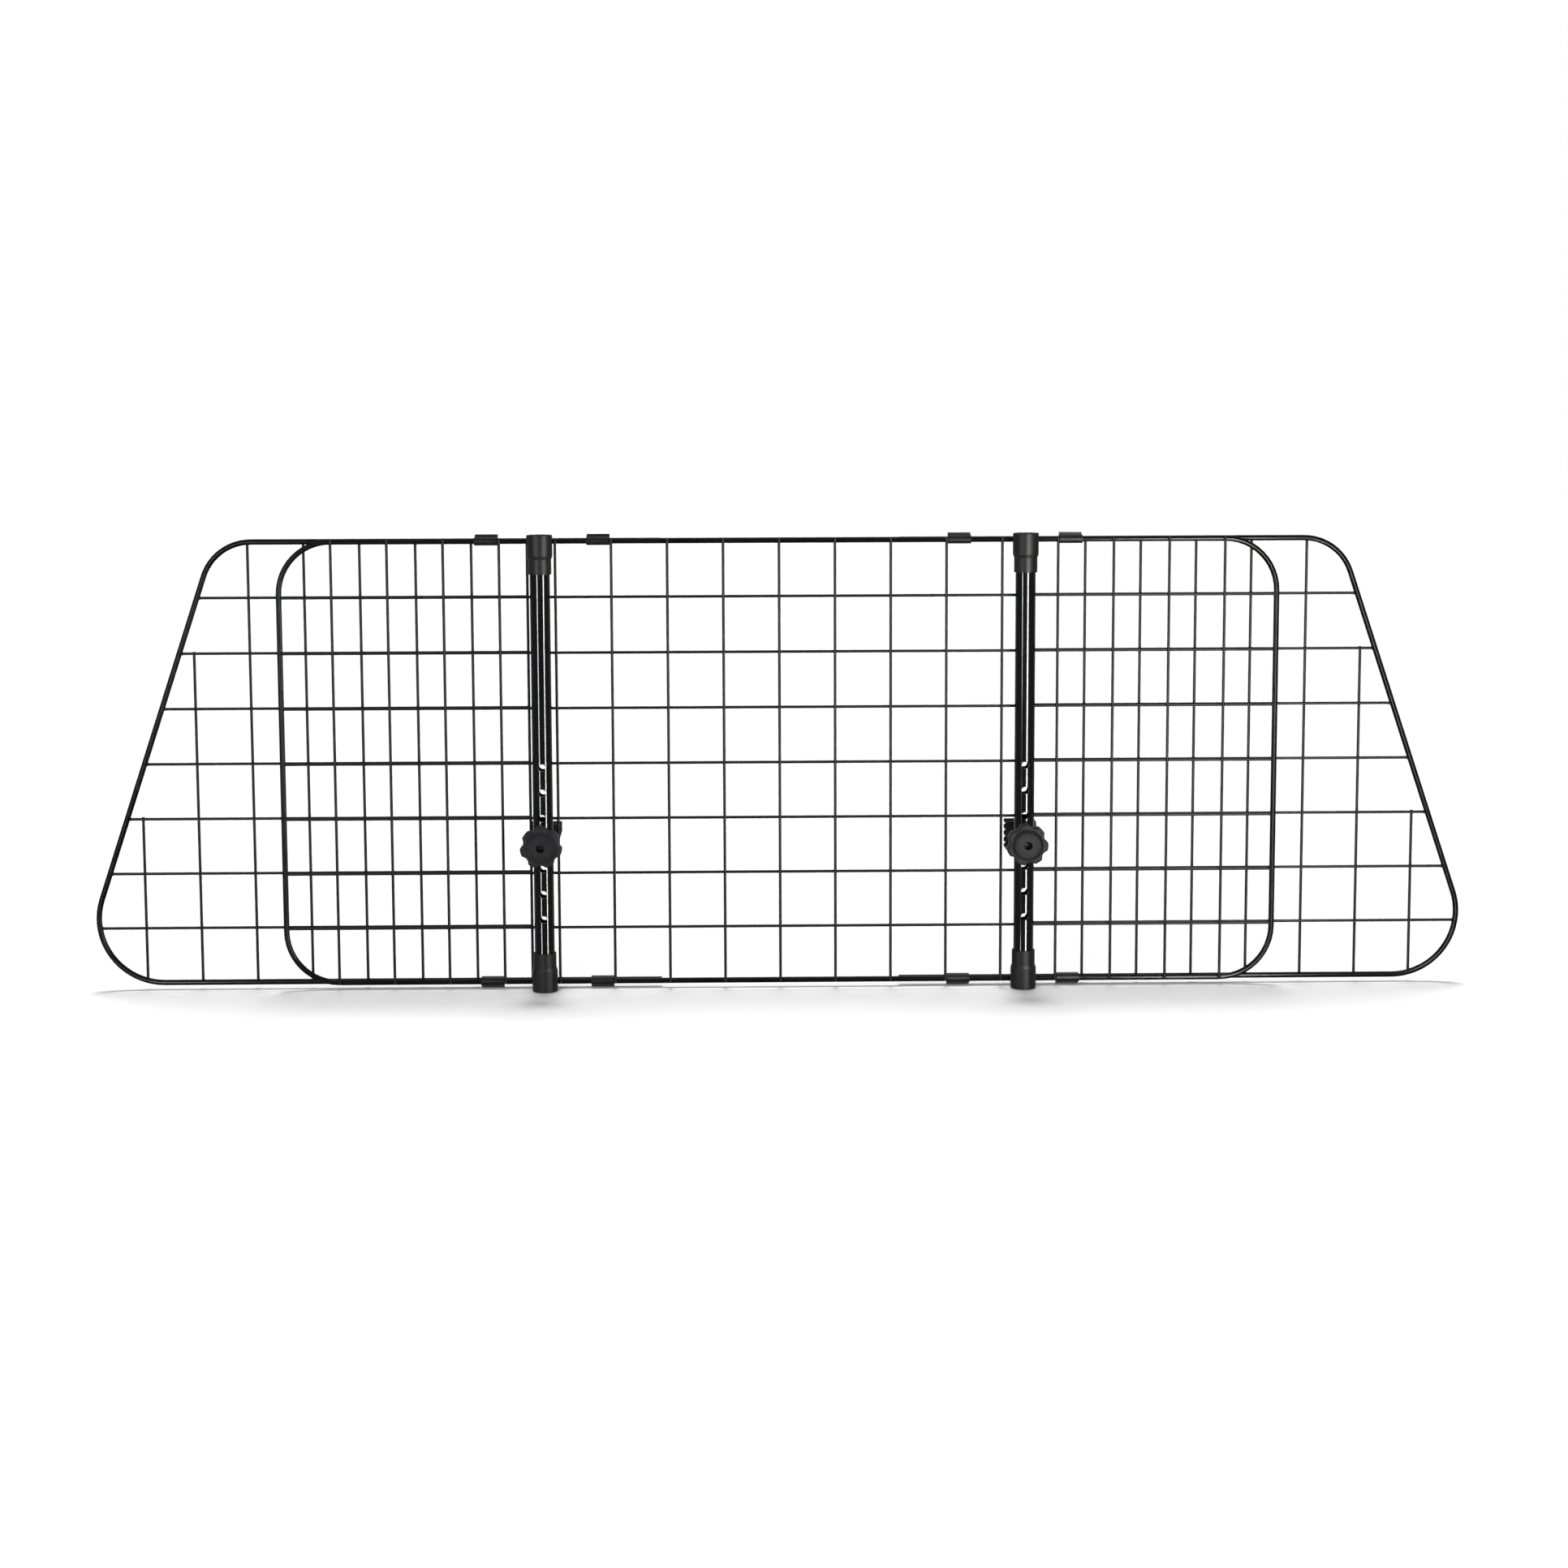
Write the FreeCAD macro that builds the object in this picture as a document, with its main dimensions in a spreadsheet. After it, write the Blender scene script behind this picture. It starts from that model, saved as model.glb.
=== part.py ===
import FreeCAD, Part
import math
import os
import Sketcher

from FreeCAD import Placement, Rotation, Vector

# Car dog guard: a wide centre panel of welded wire, two wire wings that slide
# behind it in sheet clips, and two upright tubes that each carry a screw clamp
# for a headrest rod. Lengths are millimetres, angles degrees.
# Frame: +X to the right seen from the boot, +Y towards the headrests, +Z up.
# The origin lies on the line through both headrest rods, at the clamp bolts'
# height and in the middle of the centre panel.
SIZES = {
    # Welded mesh
    "mesh_pitch": 50.0,
    "post_cell": 4,
    "inner_clip_cell": 3,
    "outer_clip_cell": 5,
    "cells_wide": 18,
    "cells_high": 8,
    "wire_radius": 1.25,
    "rod_radius": 2.5,
    "weld_sink": 0.3,
    "wire_end": 1.5,
    "butt_depth": 1.0,
    "centre_corner_radius": 47.0,
    "rail_gap": 0.6,
    # Wings
    "wing_shift": 1.0,
    "wing_tail": 118.0,
    "wing_top_reach": 278.6,
    "wing_slant_angle": 18.8,
    "wing_top_radius": 45.0,
    "wing_bottom_radius": 58.0,
    # Sheet clips
    "clip_length": 20.5,
    "clip_sheet": 1.0,
    "clip_play": 0.3,
    "clip_lip": 2.2,
    "clip_stop_gap": 0.3,
    # Upright tubes
    "tube_radius": 9.0,
    "tube_wall": 1.2,
    "tube_standoff": 0.5,
    "hole_radius": 3.3,
    "hole_pitch": 23.0,
    "hole_count": 7,
    "clamp_drop": 70.5,
    # End caps
    "cap_fit": 0.1,
    "sleeve_wall": 1.3,
    "sleeve_length": 13.0,
    "head_radius": 11.5,
    "head_taper": 3.0,
    "head_below_rail": 13.0,
    "head_above_rail": 6.0,
    "cap_web": 8.0,
    "cap_recess": 1.8,
    "cap_rim": 2.2,
    "cap_round": 0.8,
    "groove_play": 0.3,
    "post_side_gap": 0.4,
    # Clamp
    "grip_radius": 6.0,
    "grip_offset": 9.5,
    "front_grip_angle": 50.0,
    "rear_grip_angle": 65.0,
    "jaw_standoff": 0.4,
    "front_jaw_thickness": 5.6,
    "rear_jaw_thickness": 9.0,
    "jaw_height": 26.0,
    "jaw_reach": 14.0,
    "jaw_round": 1.0,
    "fin_thickness": 2.7,
    "fin_play": 0.3,
    "fin_tip_gap": 2.9,
    "fin_top_share": 0.65,
    "fin_foot": 9.0,
    "boss_radius": 4.5,
    "boss_play": 0.25,
    "seat_gap": 0.1,
    "tooth_radius": 1.4,
    "tooth_pitch": 6.0,
    "tooth_count": 4,
    # Bolt, washer and knob
    "bolt_radius": 3.0,
    "bolt_play": 0.05,
    "bolt_hole_play": 0.3,
    "bolt_head_radius": 5.7,
    "bolt_head_height": 4.0,
    "bolt_chamfer": 0.7,
    "bolt_short": 7.5,
    "washer_radius": 9.0,
    "washer_thickness": 1.5,
    "collar_radius": 8.5,
    "collar_length": 8.5,
    "knob_radius": 18.6,
    "knob_thickness": 13.0,
    "knob_lobes": 7,
    "left_knob_turn": 25.7,
    "right_knob_turn": 33.7,
    "scallop_radius": 6.0,
    "scallop_depth": 2.5,
    "scallop_round": 2.4,
    "rim_round": 1.8,
    "crown_foot_radius": 14.0,
    "crown_radius": 11.0,
    "crown_height": 4.0,
    "crown_ring": 0.9,
    "crown_ring_depth": 0.5,
    "eye_radius": 3.8,
    "insert_radius": 4.8,
    "insert_length": 12.0,
    "cut_overrun": 5.0,
}

LEFT, RIGHT = -1, 1
SIDE_NAMES = {LEFT: "left", RIGHT: "right"}
X_AXIS, Y_AXIS, Z_AXIS = Vector(1, 0, 0), Vector(0, 1, 0), Vector(0, 0, 1)
ALONG_X = Rotation(Y_AXIS, 90)
AGAINST_X = Rotation(Y_AXIS, -90)
ALONG_Y = Rotation(X_AXIS, -90)
AGAINST_Y = Rotation(X_AXIS, 90)
ALONG_Z = Rotation()

doc = FreeCAD.newDocument("car_dog_guard")
sheet = doc.addObject("Spreadsheet::Sheet", "sizes")
for row, (alias, number) in enumerate(SIZES.items(), start=1):
    sheet.set(f"A{row}", alias)
    sheet.set(f"B{row}", str(number))
    sheet.setAlias(f"B{row}", alias)
doc.recompute()


class Size:
    """A length or angle: its value, and the expression that binds it to the sheet."""

    def __init__(self, text, value):
        self.text = text
        self.value = value

    def joined(self, sign, other, value, swap=False):
        text = other.text if isinstance(other, Size) else repr(other)
        pair = (text, self.text) if swap else (self.text, text)
        return Size(f"({pair[0]} {sign} {pair[1]})", value)

    def __add__(self, other):
        return self.joined("+", other, self.value + number_of(other))

    __radd__ = __add__

    def __sub__(self, other):
        return self.joined("-", other, self.value - number_of(other))

    def __rsub__(self, other):
        return self.joined("-", other, number_of(other) - self.value, swap=True)

    def __mul__(self, other):
        return self.joined("*", other, self.value * number_of(other))

    __rmul__ = __mul__

    def __truediv__(self, other):
        return self.joined("/", other, self.value / number_of(other))

    def __neg__(self):
        return Size(f"(-1 * {self.text})", -self.value)


def number_of(item):
    return item.value if isinstance(item, Size) else item


def size(alias):
    return Size(f"sizes.{alias}", float(sheet.get(alias)))


def count(alias):
    return int(sheet.get(alias))


def root_of(item):
    return Size(f"sqrt({item.text})", math.sqrt(item.value))


def sin_of(angle):
    return Size(f"sin({angle.text})", math.sin(math.radians(angle.value)))


def cos_of(angle):
    return Size(f"cos({angle.text})", math.cos(math.radians(angle.value)))


def tan_of(angle):
    return Size(f"tan({angle.text})", math.tan(math.radians(angle.value)))


def bind(item, **properties):
    """Bind properties of a document object to the sheet."""
    for name, value in properties.items():
        if isinstance(value, Size):
            item.setExpression(name, value.text)
        else:
            setattr(item, name, value)


def place(item, x, y, z, turn=ALONG_Z, path="Placement"):
    """Set the turn of an object, and bind the three parts of its position."""
    setattr(item, path, Placement(Vector(), turn))
    for letter, value in zip("xyz", (x, y, z)):
        if isinstance(value, Size):
            item.setExpression(f"{path}.Base.{letter}", value.text)


def cylinder(name, radius, height, x, y, z, turn=ALONG_Z):
    item = doc.addObject("Part::Cylinder", name)
    bind(item, Radius=radius, Height=height)
    place(item, x, y, z, turn)
    return item


def box(name, length, width, height, x, y, z):
    item = doc.addObject("Part::Box", name)
    bind(item, Length=length, Width=width, Height=height)
    place(item, x, y, z)
    return item


def bend(name, radius, angle, x, y, z, start, towards):
    """A bent stretch of rod in the XZ plane, from one direction towards another."""
    item = doc.addObject("Part::Torus", name)
    bind(item, Radius1=radius, Radius2=size("rod_radius"), Angle3=angle)
    place(item, x, y, z, Rotation(start, towards, start.cross(towards), "XYZ"))
    return item


def joined(name, pieces):
    item = doc.addObject("Part::MultiFuse", name)
    item.Shapes = pieces
    return item


def grouped(name, pieces):
    item = doc.addObject("Part::Compound", name)
    item.Links = pieces
    return item


def cut(name, base, tool):
    item = doc.addObject("Part::Cut", name)
    item.Base = base
    item.Tool = tool
    return item


def body_of(name):
    return doc.addObject("PartDesign::Body", name)


def origin_plane(body, role):
    return next(item for item in body.Origin.OriginFeatures if item.Role == role)


def sketch_on(body, name, role, lift=None):
    """A sketch on one of the body's own origin planes, lifted along its normal."""
    sketch = body.newObject("Sketcher::SketchObject", name)
    sketch.AttachmentSupport = [(origin_plane(body, role), "")]
    sketch.MapMode = "FlatFace"
    if lift is not None:
        sketch.setExpression("AttachmentOffset.Base.z", lift.text)
    return sketch


def pin_point(sketch, geometry, point, across, up):
    """Hold one point of a sketch at a named distance from the sketch's origin."""
    for kind, value, axis in (("DistanceX", across, -2), ("DistanceY", up, -1)):
        if isinstance(value, Size):
            index = sketch.addConstraint(
                Sketcher.Constraint(kind, -1, 1, geometry, point, value.value)
            )
            sketch.setExpression(f"Constraints[{index}]", value.text)
        else:
            sketch.addConstraint(
                Sketcher.Constraint("PointOnObject", geometry, point, axis)
            )


def add_circle(sketch, radius, across=0, up=0):
    centre = Vector(number_of(across), number_of(up), 0)
    index = sketch.addGeometry(Part.Circle(centre, Z_AXIS, radius.value), False)
    pin_point(sketch, index, 3, across, up)
    rule = sketch.addConstraint(Sketcher.Constraint("Radius", index, radius.value))
    sketch.setExpression(f"Constraints[{rule}]", radius.text)


def add_outline(sketch, points):
    """A closed outline of straight lines with every corner held."""
    spots = [Vector(number_of(across), number_of(up), 0) for across, up in points]
    first = None
    for index, spot in enumerate(spots):
        following = spots[(index + 1) % len(spots)]
        line = sketch.addGeometry(Part.LineSegment(spot, following), False)
        first = line if first is None else first
    for index, (across, up) in enumerate(points):
        line = first + index
        after = first + (index + 1) % len(points)
        sketch.addConstraint(Sketcher.Constraint("Coincident", line, 2, after, 1))
        pin_point(sketch, line, 1, across, up)


def add_slot(sketch, radius, start, end):
    """A slot outline along the sketch's X axis between two centres."""
    a, b, r = number_of(start), number_of(end), radius.value
    half = math.pi / 2
    near = Part.ArcOfCircle(Part.Circle(Vector(a, 0, 0), Z_AXIS, r), half, 3 * half)
    far = Part.ArcOfCircle(Part.Circle(Vector(b, 0, 0), Z_AXIS, r), -half, half)
    low = Part.LineSegment(Vector(a, -r, 0), Vector(b, -r, 0))
    high = Part.LineSegment(Vector(b, r, 0), Vector(a, r, 0))
    near, low, far, high = (sketch.addGeometry(g, False) for g in (near, low, far, high))
    for one, its_end, two, its_start in (
        (near, 2, low, 1),
        (low, 2, far, 1),
        (far, 2, high, 1),
        (high, 2, near, 1),
    ):
        sketch.addConstraint(Sketcher.Constraint("Tangent", one, its_end, two, its_start))
    pin_point(sketch, near, 3, start, 0)
    pin_point(sketch, far, 3, end, 0)
    rule = sketch.addConstraint(Sketcher.Constraint("Radius", near, r))
    sketch.setExpression(f"Constraints[{rule}]", radius.text)


def pad(body, name, sketch, length, both_ways=False, reverse=False):
    item = body.newObject("PartDesign::Pad", name)
    item.Profile = sketch
    bind(item, Length=length, Midplane=both_ways, Reversed=reverse)
    return item


def pocket(body, name, sketch, depth=None, both_ways=False, reverse=False):
    """A pocket to a depth, or without one right through the body both ways."""
    before = body.Shape.Volume
    item = body.newObject("PartDesign::Pocket", name)
    item.Profile = sketch
    if depth is None:
        bind(item, Type="ThroughAll", Midplane=True)
    else:
        bind(item, Length=depth, Midplane=both_ways, Reversed=reverse)
    doc.recompute()
    if not body.Shape.Volume < before:
        raise RuntimeError(f"{body.Name}.{name} cuts nothing")
    return item


def rounded(body, name, feature, radius, chosen):
    """Round the edges of a feature that pass a test of their shape."""
    edges = [
        f"Edge{number}"
        for number, edge in enumerate(feature.Shape.Edges, start=1)
        if chosen(edge)
    ]
    if not edges:
        raise RuntimeError(f"{body.Name}.{name} finds no edge")
    item = body.newObject("PartDesign::Fillet", name)
    item.Base = (feature, edges)
    bind(item, Radius=radius)
    doc.recompute()
    return item


def close_to(one, other):
    return abs(one - other) < 1e-4


# Places shared by all the pieces, worked out back to front from the rod axis.
PITCH = size("mesh_pitch")
WIRE = size("wire_radius")
ROD = size("rod_radius")
CELLS_WIDE = count("cells_wide")
CELLS_HIGH = count("cells_high")
PANEL_MID = size("clamp_drop")
RAIL_RISE = CELLS_HIGH * PITCH / 2
TOP_RAIL = PANEL_MID + RAIL_RISE
BOTTOM_RAIL = PANEL_MID - RAIL_RISE
PANEL_HALF = CELLS_WIDE * PITCH / 2 - ROD

FRONT_JAW_FACE = -(size("grip_radius") * cos_of(size("front_grip_angle")))
FRONT_JAW_FRONT = FRONT_JAW_FACE - size("front_jaw_thickness")
WING_WIRE_BACK = FRONT_JAW_FRONT - size("jaw_standoff")
WING_UPRIGHT_PLANE = WING_WIRE_BACK - WIRE
WING_CROSS_PLANE = WING_UPRIGHT_PLANE - 2 * WIRE + size("weld_sink")
WING_PLANE = WING_UPRIGHT_PLANE - WIRE - ROD + size("weld_sink")
CENTRE_PLANE = WING_PLANE - 2 * ROD - size("rail_gap")
UPRIGHT_PLANE = CENTRE_PLANE - ROD - WIRE + size("weld_sink")
CROSS_PLANE = UPRIGHT_PLANE + 2 * WIRE - size("weld_sink")
TUBE_BACK = CROSS_PLANE - WIRE - size("tube_standoff")
POST_PLANE = TUBE_BACK - size("tube_radius")
TUBE_FRONT = POST_PLANE - size("tube_radius")
WASHER_BACK = TUBE_FRONT - size("seat_gap")
KNOB_BACK = WASHER_BACK - size("washer_thickness") - size("seat_gap")
REAR_JAW_FACE = size("grip_radius") * cos_of(size("rear_grip_angle"))
BOLT_HEAD_FACE = REAR_JAW_FACE + size("rear_jaw_thickness") - size("bolt_head_height")

# The wings' last uprights stand half a cell from the centre panel's. The right
# post is pushed out until its clamp meets that upright, the left one is pushed
# in until its caps meet the centre panel's fourth upright.
POST_CELL = count("post_cell") * PITCH
LAST_UPRIGHT = POST_CELL + PITCH / 2 + size("wing_shift")
INNER_POST = POST_CELL + WIRE + size("head_radius") + size("post_side_gap")
OUTER_POST = LAST_UPRIGHT - WIRE - size("boss_radius") - size("boss_play")
POST_PLACES = {LEFT: -INNER_POST, RIGHT: OUTER_POST}


def centre_panel():
    """One closed loop of rod, with upright wires on its face and cross wires behind."""
    radius = size("centre_corner_radius")
    across = PANEL_HALF - radius
    rise = RAIL_RISE - radius
    pieces = []
    for name, z in (("top", TOP_RAIL), ("bottom", BOTTOM_RAIL)):
        rail = cylinder(
            f"centre_{name}_rail", ROD, 2 * across, -across, CENTRE_PLANE, z, ALONG_X
        )
        pieces.append(rail)
    for side in (LEFT, RIGHT):
        name = SIDE_NAMES[side]
        low = PANEL_MID - rise
        pieces.append(
            cylinder(f"centre_{name}_rail", ROD, 2 * rise, side * PANEL_HALF, CENTRE_PLANE, low)
        )
        for level, up in (("top", 1), ("bottom", -1)):
            corner = bend(
                f"centre_{level}_{name}_corner",
                radius,
                90,
                side * across,
                CENTRE_PLANE,
                PANEL_MID + up * rise,
                Z_AXIS * up,
                X_AXIS * side,
            )
            pieces.append(corner)
    frame = joined("centre_frame", pieces)

    reach = RAIL_RISE + size("wire_end")
    half = CELLS_WIDE // 2
    uprights = [
        cylinder(
            f"centre_upright_{step + half}",
            WIRE,
            2 * reach,
            step * PITCH,
            UPRIGHT_PLANE,
            PANEL_MID - reach,
        )
        for step in range(1 - half, half)
    ]
    reach = PANEL_HALF - ROD + size("butt_depth")
    cross = [
        cylinder(
            f"centre_cross_{step}",
            WIRE,
            2 * reach,
            -reach,
            CROSS_PLANE,
            BOTTOM_RAIL + step * PITCH,
            ALONG_X,
        )
        for step in range(1, CELLS_HIGH)
    ]
    return [
        frame,
        grouped("centre_uprights", uprights),
        grouped("centre_cross_wires", cross),
    ]


def wing(side):
    """An open frame of one bent rod, with a slanted outer side, and its wires."""
    name = f"{SIDE_NAMES[side]}_wing"
    slant = size("wing_slant_angle")
    top_radius = size("wing_top_radius")
    low_radius = size("wing_bottom_radius")
    outward = X_AXIS * side

    def reach_at(z):
        """How far out the slanted rod's axis is at a height, from the last upright."""
        return size("wing_top_reach") + (TOP_RAIL - z) * tan_of(slant)

    top_height = TOP_RAIL - top_radius
    low_height = BOTTOM_RAIL + low_radius
    top_centre = reach_at(top_height) - top_radius / cos_of(slant)
    low_centre = reach_at(low_height) - low_radius / cos_of(slant)

    def x_at(reach):
        return side * (LAST_UPRIGHT + reach)

    along = ALONG_X if side == RIGHT else AGAINST_X
    tail = size("wing_tail")
    slant_length = (
        top_height
        + top_radius * sin_of(slant)
        - low_height
        - low_radius * sin_of(slant)
    ) / cos_of(slant)
    pieces = [
        cylinder(
            f"{name}_top_rail", ROD, tail + top_centre, x_at(-tail), WING_PLANE, TOP_RAIL, along
        ),
        bend(
            f"{name}_top_bend",
            top_radius,
            90 - slant,
            x_at(top_centre),
            WING_PLANE,
            top_height,
            Z_AXIS,
            outward,
        ),
        cylinder(
            f"{name}_slant",
            ROD,
            slant_length,
            x_at(low_centre + low_radius * cos_of(slant)),
            WING_PLANE,
            low_height + low_radius * sin_of(slant),
            Rotation(Y_AXIS * -side, slant.value),
        ),
        bend(
            f"{name}_low_bend",
            low_radius,
            90 + slant,
            x_at(low_centre),
            WING_PLANE,
            low_height,
            -Z_AXIS,
            outward,
        ),
        cylinder(
            f"{name}_bottom_rail",
            ROD,
            tail + low_centre,
            x_at(-tail),
            WING_PLANE,
            BOTTOM_RAIL,
            along,
        ),
    ]
    pieces[2].setExpression("Placement.Rotation.Angle", f"{slant.text} * 1 deg")
    frame = joined(f"{name}_frame", pieces)

    def outer_reach(z):
        """Where the outer side's axis is at a height, on the slant or the low bend."""
        if number_of(z) > number_of(low_height + low_radius * sin_of(slant)):
            return reach_at(z)
        rise = z - low_height
        return low_centre + root_of(low_radius * low_radius - rise * rise)

    cross = []
    for step in range(1, CELLS_HIGH):
        z = BOTTOM_RAIL + step * PITCH
        length = outer_reach(z) - ROD / cos_of(slant) + size("butt_depth") + size("wire_end")
        cross.append(
            cylinder(
                f"{name}_cross_{step}",
                WIRE,
                length,
                x_at(-size("wire_end")),
                WING_CROSS_PLANE,
                z,
                along,
            )
        )

    def upright_top(out):
        """An upright ends on the top rail, or on the first cross wire below the slant."""
        end = size("wire_end")
        shallow = root_of(2 * top_radius * end - end * end)
        if number_of(out) < number_of(top_centre + shallow):
            return TOP_RAIL + end
        drop = (out - size("wing_top_reach")) / tan_of(slant)
        cells_down = max(1, math.ceil(number_of(drop / PITCH)))
        return TOP_RAIL - cells_down * PITCH + end

    def upright_bottom(out):
        """An upright ends on the bottom rail, or on the bend where the rail turns up."""
        past = out - low_centre
        if number_of(past) > 0:
            return low_height - root_of(low_radius * low_radius - past * past)
        return BOTTOM_RAIL - size("wire_end")

    uprights = []
    for step in range(math.ceil(number_of((low_centre + low_radius) / PITCH))):
        top = upright_top(step * PITCH)
        bottom = upright_bottom(step * PITCH)
        if number_of(top - bottom) < number_of(PITCH):
            break
        uprights.append(
            cylinder(
                f"{name}_upright_{step}",
                WIRE,
                top - bottom,
                x_at(step * PITCH),
                WING_UPRIGHT_PLANE,
                bottom,
            )
        )
    return [
        frame,
        grouped(f"{name}_uprights", uprights),
        grouped(f"{name}_cross_wires", cross),
    ]


def sheet_clip(name, inner_end, side, level, z):
    """A strip of sheet bent round both rails, its ends folded into a lip."""
    body = body_of(name)
    inner = ROD + size("clip_play")
    outer = inner + size("clip_sheet")
    span = WING_PLANE - CENTRE_PLANE
    reverse = side == LEFT
    shell = sketch_on(body, f"{name}_shell", "YZ_Plane")
    add_slot(shell, outer, 0, span)
    pad(body, f"{name}_strip", shell, size("clip_length"), reverse=reverse)
    lip = sketch_on(body, f"{name}_lip", "YZ_Plane")
    root = level * inner
    tip = level * (outer + size("clip_lip"))
    near = span - size("clip_sheet")
    far = span + size("clip_sheet")
    add_outline(lip, [(near, root), (far, root), (far, tip), (near, tip)])
    pad(body, f"{name}_fold", lip, size("clip_length"), reverse=reverse)
    doc.recompute()
    hollow = sketch_on(body, f"{name}_hollow", "YZ_Plane")
    add_slot(hollow, inner, 0, span)
    pocket(body, f"{name}_bore", hollow)
    place(body, side * inner_end, CENTRE_PLANE, z)
    return body


def clips():
    pieces = []
    for side in (LEFT, RIGHT):
        for ring in ("inner", "outer"):
            step = count(f"{ring}_clip_cell")
            inner_end = step * PITCH + WIRE + size("clip_stop_gap")
            for word, level, z in (("top", 1, TOP_RAIL), ("bottom", -1, BOTTOM_RAIL)):
                name = f"{word}_{SIDE_NAMES[side]}_{ring}_clip"
                pieces.append(sheet_clip(name, inner_end, side, level, z))
    return pieces


TUBE_END = RAIL_RISE - size("cap_web") - size("seat_gap")


def tube(name, x):
    """A round tube with a row of holes for the clamp bolt through both walls."""
    body = body_of(name)
    ring = sketch_on(body, f"{name}_ring", "XY_Plane")
    add_circle(ring, size("tube_radius"))
    add_circle(ring, size("tube_radius") - size("tube_wall"))
    pad(body, f"{name}_wall", ring, 2 * TUBE_END)
    doc.recompute()
    row = (size("hole_count") - 1) * size("hole_pitch")
    lowest = TUBE_END - PANEL_MID - row / 2
    hole = sketch_on(body, f"{name}_hole", "XZ_Plane")
    add_circle(hole, size("hole_radius"), 0, lowest)
    first = pocket(body, f"{name}_first_hole", hole)
    pattern = body.newObject("PartDesign::LinearPattern", f"{name}_holes")
    pattern.Originals = [first]
    pattern.Direction = (hole, ["V_Axis"])
    bind(pattern, Length=row, Occurrences=count("hole_count"))
    body.Tip = pattern
    place(body, x, POST_PLANE, PANEL_MID - TUBE_END)
    return body


def end_cap(name, x, level, z):
    """A moulded cap: a sleeve over the tube, and a head grooved for the centre rail."""
    body = body_of(name)
    bore = size("tube_radius") + size("cap_fit")
    sleeve = bore + size("sleeve_wall")
    head = size("head_radius")
    shoulder = -size("head_below_rail")
    waist = shoulder - size("head_taper")
    mouth = waist - size("sleeve_length")
    end = size("head_above_rail")
    web = -size("cap_web")
    inside = head - size("cap_rim")
    profile = sketch_on(body, f"{name}_profile", "XZ_Plane")
    add_outline(
        profile,
        [
            (bore, mouth),
            (sleeve, mouth),
            (sleeve, waist),
            (head, shoulder),
            (head, end),
            (inside, end),
            (inside, end - size("cap_recess")),
            (0, end - size("cap_recess")),
            (0, web),
            (bore, web),
        ],
    )
    turned = body.newObject("PartDesign::Revolution", f"{name}_turned")
    turned.Profile = profile
    turned.ReferenceAxis = (profile, ["V_Axis"])
    bind(turned, Angle=360.0)
    doc.recompute()

    def is_rim(edge):
        circle = edge.Curve if isinstance(edge.Curve, Part.Circle) else None
        return (
            circle is not None
            and close_to(circle.Radius, head.value)
            and close_to(circle.Center.z, end.value)
        )

    rounded(body, f"{name}_rim", turned, size("cap_round"), is_rim)
    groove = sketch_on(body, f"{name}_groove", "YZ_Plane")
    add_circle(groove, ROD + size("groove_play"), CENTRE_PLANE - POST_PLANE, 0)
    pocket(body, f"{name}_rail_seat", groove)
    turn = ALONG_Z if level > 0 else Rotation(Y_AXIS, 180)
    place(body, x, POST_PLANE, z, turn)
    return body


JAW_HALF = size("jaw_height") / 2


def bolt_bore(body, name, radius):
    bore = sketch_on(body, f"{name}_bore", "XZ_Plane")
    add_circle(bore, radius)
    pocket(body, f"{name}_bolt_hole", bore)


def rod_groove(body, name):
    """The round groove that grips the headrest rod, beside the bolt."""
    groove = sketch_on(body, f"{name}_groove", "XY_Plane")
    add_circle(groove, size("grip_radius"), -size("grip_offset"), 0)
    pocket(body, f"{name}_rod_groove", groove)


def toothed_flank(body, name):
    """Four notches down the open flank, for the fingers that hold the jaw."""
    teeth = sketch_on(body, f"{name}_teeth", "XZ_Plane")
    rise = (size("tooth_count") - 1) * size("tooth_pitch")
    add_circle(teeth, size("tooth_radius"), -size("jaw_reach"), -rise / 2)
    first = pocket(body, f"{name}_first_notch", teeth)
    pattern = body.newObject("PartDesign::LinearPattern", f"{name}_notches")
    pattern.Originals = [first]
    pattern.Direction = (teeth, ["V_Axis"])
    bind(pattern, Length=rise, Occurrences=count("tooth_count"))
    body.Tip = pattern


def front_jaw(name, x):
    """The fixed jaw: a plate behind the wires, with a boss that reaches the tube."""
    body = body_of(name)
    flank = size("jaw_reach") - size("fin_thickness") - size("fin_play")
    left = -size("jaw_reach")
    face = sketch_on(body, f"{name}_plate", "XZ_Plane", -FRONT_JAW_FRONT)
    add_outline(face, [(left, -JAW_HALF), (flank, -JAW_HALF), (flank, JAW_HALF), (left, JAW_HALF)])
    plate = pad(body, f"{name}_slab", face, size("front_jaw_thickness"), reverse=True)
    doc.recompute()

    def is_corner(edge):
        return close_to(edge.Length, size("front_jaw_thickness").value)

    rounded(body, f"{name}_corners", plate, size("jaw_round"), is_corner)
    ring = sketch_on(body, f"{name}_boss_ring", "XZ_Plane", -FRONT_JAW_FRONT)
    add_circle(ring, size("boss_radius"))
    pad(body, f"{name}_boss", ring, FRONT_JAW_FRONT - TUBE_BACK - size("seat_gap"))
    doc.recompute()
    bolt_bore(body, name, size("bolt_radius") + size("bolt_hole_play"))
    rod_groove(body, name)
    toothed_flank(body, name)
    place(body, x, 0, 0)
    return body


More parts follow.
